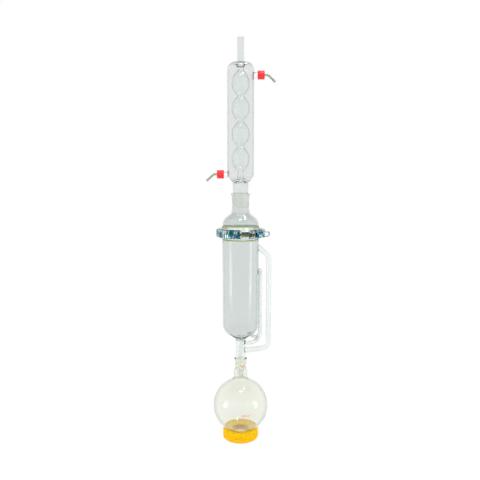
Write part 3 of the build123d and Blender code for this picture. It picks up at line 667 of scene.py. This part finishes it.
def extractor():
    slope = tan(radians(36))
    tip = lower_joint - 30
    tube_radius = 15.0
    tube_bore = 12.5
    drip_radius = 9.5
    drip_bore = 7.9
    vapour_radius = 8.0
    vapour_bore = 6.5
    siphon_radius = 5.8
    siphon_bore = 4.3
    groove_inner = 57.3
    groove_outer = 62.7
    groove_floor = flange_face - 3.2
    cone_small = lower_cone_radius - 1.6
    chamber_rise = 44 * slope
    chamber = [
        (0, chamber_floor, 0), (10, chamber_floor, 20),
        (chamber_radius, chamber_floor + chamber_rise, 28), (chamber_radius, flange_face, 0),
    ]
    outside = [
        (0, tip, 0), (drip_radius, tip, 0), (drip_radius, lower_joint - 5, 3),
        (cone_small, lower_joint, 1), (lower_cone_radius, lower_rim, 0.4),
        (tube_radius, lower_rim + 3, 1), (tube_radius, chamber_floor + 5 * slope, 6), chamber[2],
    ]
    outside += flange_corners(flange_face, -1)[::-1] + [(0, flange_face, 0)]
    body = turned("extractor_glass", outside)
    melt_on(body, tube("vapour_tube", vapour_corners(49, 11.5), vapour_radius))
    lower_space = [
        (0, tip - 1, 0), (drip_bore, tip - 1, 0), (drip_bore, lower_joint - 3, 3),
        (cone_small - 2.5, lower_joint + 3, 3), (tube_bore, lower_rim + 1, 2),
        (tube_bore, chamber_floor, 3), (0, chamber_floor, 0),
    ]
    cut_away(body, turned("lower_space", lower_space))
    melt_on(body, tube("siphon_tube", siphon_corners(28, tip + 2), siphon_radius))
    chamber_space = inner_line(chamber, chamber_wall)
    chamber_space[-1] = (chamber_radius - chamber_wall, flange_face + 1, 0)
    cut_away(body, turned("chamber_space", chamber_space + [(0, flange_face + 1, 0)]))
    cut_away(body, tube("vapour_bore", vapour_corners(43, 9.5), vapour_bore))
    cut_away(body, tube("siphon_bore", siphon_corners(22, tip + 1), siphon_bore))
    groove = [
        (groove_inner, groove_floor, 0.8), (groove_outer, groove_floor, 0.8),
        (groove_outer, flange_face + 1, 0), (groove_inner, flange_face + 1, 0),
    ]
    cut_away(body, turned("seal_groove", groove, closed=True))
    clear_selection()
    bpy.ops.mesh.primitive_cube_add(size=60 * mm, location=(0, 0, (tip - 30) * mm))
    slant = bpy.context.active_object
    bpy.ops.object.mode_set(mode="EDIT")
    bpy.ops.transform.rotate(value=radians(30), orient_axis="Y", center_override=(0, 0, tip * mm))
    bpy.ops.object.mode_set(mode="OBJECT")
    cut_away(body, slant)
    smooth(body)
    dress(body, blown_glass, "glassware", "extractor_glass", "extractor_body")
    assign(body, tube_glass, chamber_floor - 6, flange_face - 30, 55.5, 100)
    assign(body, tube_glass, tip - 12, chamber_floor + 3, 0, 100)
    assign(body, fine_ground_glass, lower_joint + 0.5, lower_rim - 0.3, 12.2, 14.7)
    assign(body, flange_glass, flange_face - 19, flange_face - 6, 57, 68)
    assign(body, flange_root_glass, flange_face - 22, flange_face - 15, 54.1, 56.5)


# Flange adapter: a bell from the flat flange to the upper ground socket

def adapter():
    bell_top = adapter_face + 38.3
    neck = 27.8
    neck_z = bell_top + (chamber_radius - neck) * tan(radians(37))
    bell = [
        (chamber_radius, adapter_face, 0), (chamber_radius, bell_top, 25), (neck, neck_z, 6),
        (upper_cone_radius + 0.05, upper_joint, 2),
    ]
    outer = flange_corners(adapter_face, 1) + bell[1:3] + socket_line(upper_joint, 42, 50.0, 2.1, 1.6)
    inner = inner_line(bell, 3.0)[:3] + socket_bore(upper_joint, 42, 50.0)[::-1]
    bell_glass = turned("adapter_glass", outer + inner[::-1], closed=True)
    smooth(bell_glass)
    dress(bell_glass, blown_glass, "glassware", "adapter_glass", "flange_adapter")
    assign(bell_glass, ground_glass, upper_joint + 0.5, upper_rim - 0.5, 22, 25.1)
    assign(bell_glass, flange_glass, adapter_face + 6, adapter_face + 19, 57, 68)
    assign(bell_glass, flange_root_glass, adapter_face + 15, adapter_face + 22, 54.1, 56.5)


# Bulb condenser: a water jacket round a row of four bulbs

def bulb_corners(narrow, wide, neck_rounding, first, pitch, count):
    """corners of a row of bulbs whose arcs run into each other at rounded necks"""
    half = pitch / 2
    lean = 2 * atan((wide - narrow) / half)
    bulb_rounding = half / sin(lean) - neck_rounding
    spare = 1 / cos(lean) - 1
    corners = []
    for i in range(count):
        base = first + i * pitch
        corners.append((narrow - neck_rounding * spare, base, neck_rounding * 0.99))
        corners.append((wide + bulb_rounding * spare, base + half, bulb_rounding * 0.99))
    corners.append((narrow - neck_rounding * spare, first + count * pitch, neck_rounding * 0.99))
    return corners


def condenser():
    neck = 22.9
    jacket = 39.4
    vent = 10.4
    cone_small = upper_cone_radius - 2.1
    foot_rise = (jacket - neck) * tan(radians(48))
    first = jacket_foot + 33.4
    bulb_pitch = 72.6
    bulbs = 4
    stub_radius = 9.0
    stub_bore = 5.5
    vent_bore = 8.5
    vent_end = jacket_top + 72
    outside = [
        (0, upper_joint, 0), (cone_small, upper_joint, 1), (upper_cone_radius, upper_rim - 0.5, 0.8),
        (neck, upper_rim + 1.5, 1), (neck, jacket_foot, 2), (jacket, jacket_foot + foot_rise, 12),
        (jacket, jacket_top - 1, 18), (vent + 6, jacket_top, 6), (vent, jacket_top - 7, 2),
        (vent, vent_end, 0.6), (0, vent_end, 0),
    ]
    body = turned("condenser_glass", outside)
    for side, z in ((1, upper_stub), (-1, lower_stub)):
        melt_on(body, tube("stub", [(side * 34.2, 0, z, 0), (side * 62.5, 0, z, 0)], stub_radius))
    passage = [
        (0, upper_joint - 1, 0), (20.7, upper_joint - 1, 0), (20.7, jacket_foot + 1, 4),
        (8.0, jacket_foot + 12, 7),
    ]
    passage += bulb_corners(8.0, 24.2, 4.5, first, bulb_pitch, bulbs)
    passage += [
        (8.0, jacket_top - 14, 3), (vent_bore, jacket_top - 4, 3),
        (vent_bore, vent_end + 1, 0), (0, vent_end + 1, 0),
    ]
    cut_away(body, turned("passage", passage))
    inner_jacket = 37.2
    rise = (inner_jacket - neck) * tan(radians(48))
    water = [
        (neck + 1, jacket_foot + 4.4, 0.6), (inner_jacket, jacket_foot + 3.5 + rise, 10),
        (inner_jacket, jacket_top - 3.2, 16), (vent + 6, jacket_top - 2.2, 4),
        (vent + 3, jacket_top - 6, 1), (9.5, jacket_top - 15, 5),
    ]
    water += bulb_corners(9.5, 25.7, 3.2, first, bulb_pitch, bulbs)[::-1]
    water += [(9.5, jacket_foot + 14, 8)]
    cut_away(body, turned("water_space", water, closed=True))
    for side, z in ((1, upper_stub), (-1, lower_stub)):
        cut_away(body, tube("stub_bore", [(side * 33.2, 0, z, 0), (side * 64, 0, z, 0)], stub_bore))
    smooth(body)
    dress(body, jacket_glass, "glassware", "condenser_glass", "bulb_condenser")
    assign(body, thin_glass, jacket_foot + 15, jacket_top - 8, 0, 33)
    assign(body, dome_glass, jacket_top - 20, jacket_top + 1, 18, 39.5)
    assign(body, clear_glass, jacket_top - 17, jacket_top + 1, 0, 18)
    assign(body, clear_glass, jacket_foot - 2, jacket_foot + 15, 0, 24)
    for z in (upper_stub, lower_stub):
        assign(body, clear_glass, z - 10, z + 10, 39.8, 65)
    assign(body, ground_glass, upper_joint + 0.5, upper_rim - 0.8, 22.4, 25.1)


# Print on the glass: plain figures in orange enamel

def printed(name, words, glass, middle_x, z, height):
    """raised words on the front of a glass piece, pressed onto its wall"""
    clear_selection()
    bpy.ops.object.text_add(location=(middle_x * mm, -0.1, z * mm), rotation=(pi / 2, 0, 0))
    text = bpy.context.active_object
    text.data.body = words
    text.data.size = height * mm
    text.data.offset = 0.02 * height * mm
    text.data.align_x = "CENTER"
    bpy.ops.object.convert(target="MESH")
    piece = bpy.context.active_object
    piece.name = name
    bpy.ops.object.transform_apply(location=True, rotation=True, scale=True)
    wrap = piece.modifiers.new("wrap", "SHRINKWRAP")
    wrap.target = glass
    wrap.wrap_method = "PROJECT"
    wrap.use_project_y = True
    wrap.offset = 0.04 * mm
    bpy.ops.object.modifier_apply(modifier=wrap.name)
    dress(piece, orange_print, "glassware", "flask_glass")


support_ring()
flask = round_bottom_flask()
printed("joint_size_print", "29/32", flask, 6.5, 223.6, 6.2)
printed("volume_print", "2000 ml", flask, 15.0, 97.4, 7.4)
extractor()
adapter()
condenser()


# Clamp, caps, seals and hose tails: merged copies of the CAD shapes, the clamp's and caps' edges
# broken

def finished_copy(node, name, material, slot, edge):
    """copy of a CAD node, merged, with its sharp edges rounded"""
    cad = frame["nodes"][node]
    piece = bpy.data.objects.new(name, cad.data.copy())
    bpy.context.scene.collection.objects.link(piece)
    take(piece)
    bpy.ops.object.mode_set(mode="EDIT")
    bpy.ops.mesh.select_all(action="SELECT")
    bpy.ops.mesh.remove_doubles(threshold=1e-6)
    bpy.ops.mesh.dissolve_limited(angle_limit=radians(0.5))
    bpy.ops.object.mode_set(mode="OBJECT")
    if edge:
        bevel = piece.modifiers.new("edge", "BEVEL")
        bevel.width = edge * mm
        bevel.segments = 2
        bevel.limit_method = "ANGLE"
        bevel.angle_limit = radians(40)
        bevel.use_clamp_overlap = True
        bpy.ops.object.modifier_apply(modifier=bevel.name)
    smooth(piece, 40)
    dress(piece, material, cad["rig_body"], slot, node)
    return piece


for node in frame["nodes"]:
    if node.startswith("clamp_"):
        # the clamp takes the steel with painted reflections, and the bolt the threaded steel with
        # painted shade
        steel = threaded_steel if node == "clamp_bolt" else stainless
        finished_copy(node, node + "_steel", steel, "clamp_steel", 0.25)
for place in ("upper", "lower"):
    finished_copy(place + "_hose_cap", place + "_screw_cap", red_cap, "cap_plastic", 0.15)
    finished_copy(place + "_hose_seal", place + "_silicone_seal", silicone, "hose_seal_rubber", 0)
    finished_copy(place + "_hose_connector", place + "_hose_tail", pressed_glass, "connector_glass", 0)
finished_copy("flange_seal_ring", "flange_seal_silicone", silicone, "seal_rubber", 0)


# Studio: pale floor, white surroundings, two low soft boxes at the sides and two lamps overhead

def seen_share(tree):
    """1 for rays from the camera and for those that gloss and glass pass on, 0 for the rest"""
    path = add(tree, "ShaderNodeLightPath")
    seen = add(tree, "ShaderNodeMath", {"operation": "ADD"}, {
        0: path.outputs["Is Camera Ray"], 1: path.outputs["Is Glossy Ray"],
    })
    seen = add(tree, "ShaderNodeMath", {"operation": "ADD", "use_clamp": True}, {
        0: seen.outputs[0], 1: path.outputs["Is Transmission Ray"],
    })
    return path, seen


def studio_floor():
    clear_selection()
    bpy.ops.mesh.primitive_plane_add(size=30, location=(0, 0, -0.0002))
    floor = bpy.context.active_object
    floor.name = "studio_floor"
    material, tree = new_material("paper_white")
    paper = add(tree, "ShaderNodeBsdfDiffuse", inputs={"Color": linear("#f4f4f4")})
    glow = add(tree, "ShaderNodeEmission", inputs={"Color": (1, 1, 1, 1), "Strength": 1.0})
    seen = seen_share(tree)[1]
    share = add(tree, "ShaderNodeMath", {"operation": "MULTIPLY"}, {0: seen.outputs[0], 1: 0.9})
    mixed = add(tree, "ShaderNodeMixShader", inputs={
        0: share.outputs[0], 1: paper.outputs["BSDF"], 2: glow.outputs["Emission"],
    })
    add(tree, "ShaderNodeOutputMaterial", inputs={"Surface": mixed.outputs["Shader"]})
    floor.data.materials.append(material)


def surroundings():
    world = bpy.data.worlds.new("studio")
    bpy.context.scene.world = world
    world.use_nodes = True
    tree = world.node_tree
    tree.nodes.clear()
    place = add(tree, "ShaderNodeTexCoord")
    split = add(tree, "ShaderNodeSeparateXYZ", inputs={0: place.outputs["Generated"]})
    height = add(tree, "ShaderNodeValToRGB", inputs={"Fac": split.outputs["Z"]})
    height.color_ramp.elements[0].position = 0.35
    height.color_ramp.elements[0].color = (1, 1, 1, 1)
    height.color_ramp.elements[1].position = 0.85
    height.color_ramp.elements[1].color = linear("#9aa4a6")
    white = add(tree, "ShaderNodeBackground", inputs={
        "Color": height.outputs["Color"], "Strength": 1.0,
    })
    soft = add(tree, "ShaderNodeBackground", inputs={"Color": (1, 1, 1, 1), "Strength": 1.15})
    path, seen = seen_share(tree)
    matt = add(tree, "ShaderNodeMath", {"operation": "LESS_THAN"}, {
        0: path.outputs["Diffuse Depth"], 1: 0.5,
    })
    seen = add(tree, "ShaderNodeMath", {"operation": "MULTIPLY"}, {
        0: seen.outputs[0], 1: matt.outputs[0],
    })
    mixed = add(tree, "ShaderNodeMixShader", inputs={
        0: seen.outputs[0], 1: soft.outputs["Background"], 2: white.outputs["Background"],
    })
    add(tree, "ShaderNodeOutputWorld", inputs={"Surface": mixed.outputs["Shader"]})


def soft_box(name, azimuth, distance, z, aim_z, width, height, brightness):
    """area lamp that looks at a point on the axis, the azimuth counted from the front towards +X"""
    data = bpy.data.lights.new(name, "AREA")
    data.shape = "RECTANGLE"
    data.size = width
    data.size_y = height
    data.energy = brightness * pi * width * height
    lamp = bpy.data.objects.new(name, data)
    bpy.context.scene.collection.objects.link(lamp)
    angle = radians(azimuth)
    lamp.location = (distance * sin(angle), -distance * cos(angle), z)
    aim = Vector((0, 0, aim_z)) - lamp.location
    lamp.rotation_euler = aim.to_track_quat("-Z", "Y").to_euler()


def camera():
    """camera 1.5 m in front of the extractor, looking down a little"""
    downward = 5.5
    data = bpy.data.cameras.new("camera")
    data.lens = 38.6
    data.sensor_width = 36
    view = bpy.data.objects.new("camera", data)
    bpy.context.scene.collection.objects.link(view)
    view.location = (-0.0018, -1.533, 0.758)
    view.rotation_euler = (radians(90 - downward), 0, 0)
    bpy.context.scene.camera = view


studio_floor()
surroundings()
soft_box("left_soft_box", -68, 1.6, 0.18, 0.3, 0.5, 0.5, 2.0)
soft_box("right_soft_box", 68, 1.6, 0.24, 0.3, 0.5, 0.6, 1.6)
soft_box("high_soft_box", 98, 0.45, 2.05, 0.95, 0.55, 0.16, 9.0)
soft_box("top_soft_box", 0, 0.5, 2.2, 0.6, 0.4, 0.22, 20.0)
camera()
scene = bpy.context.scene
scene.view_settings.view_transform = "Standard"
scene.cycles.max_bounces = 48
scene.cycles.transmission_bounces = 48
scene.cycles.transparent_max_bounces = 24
scene.cycles.use_denoising = True
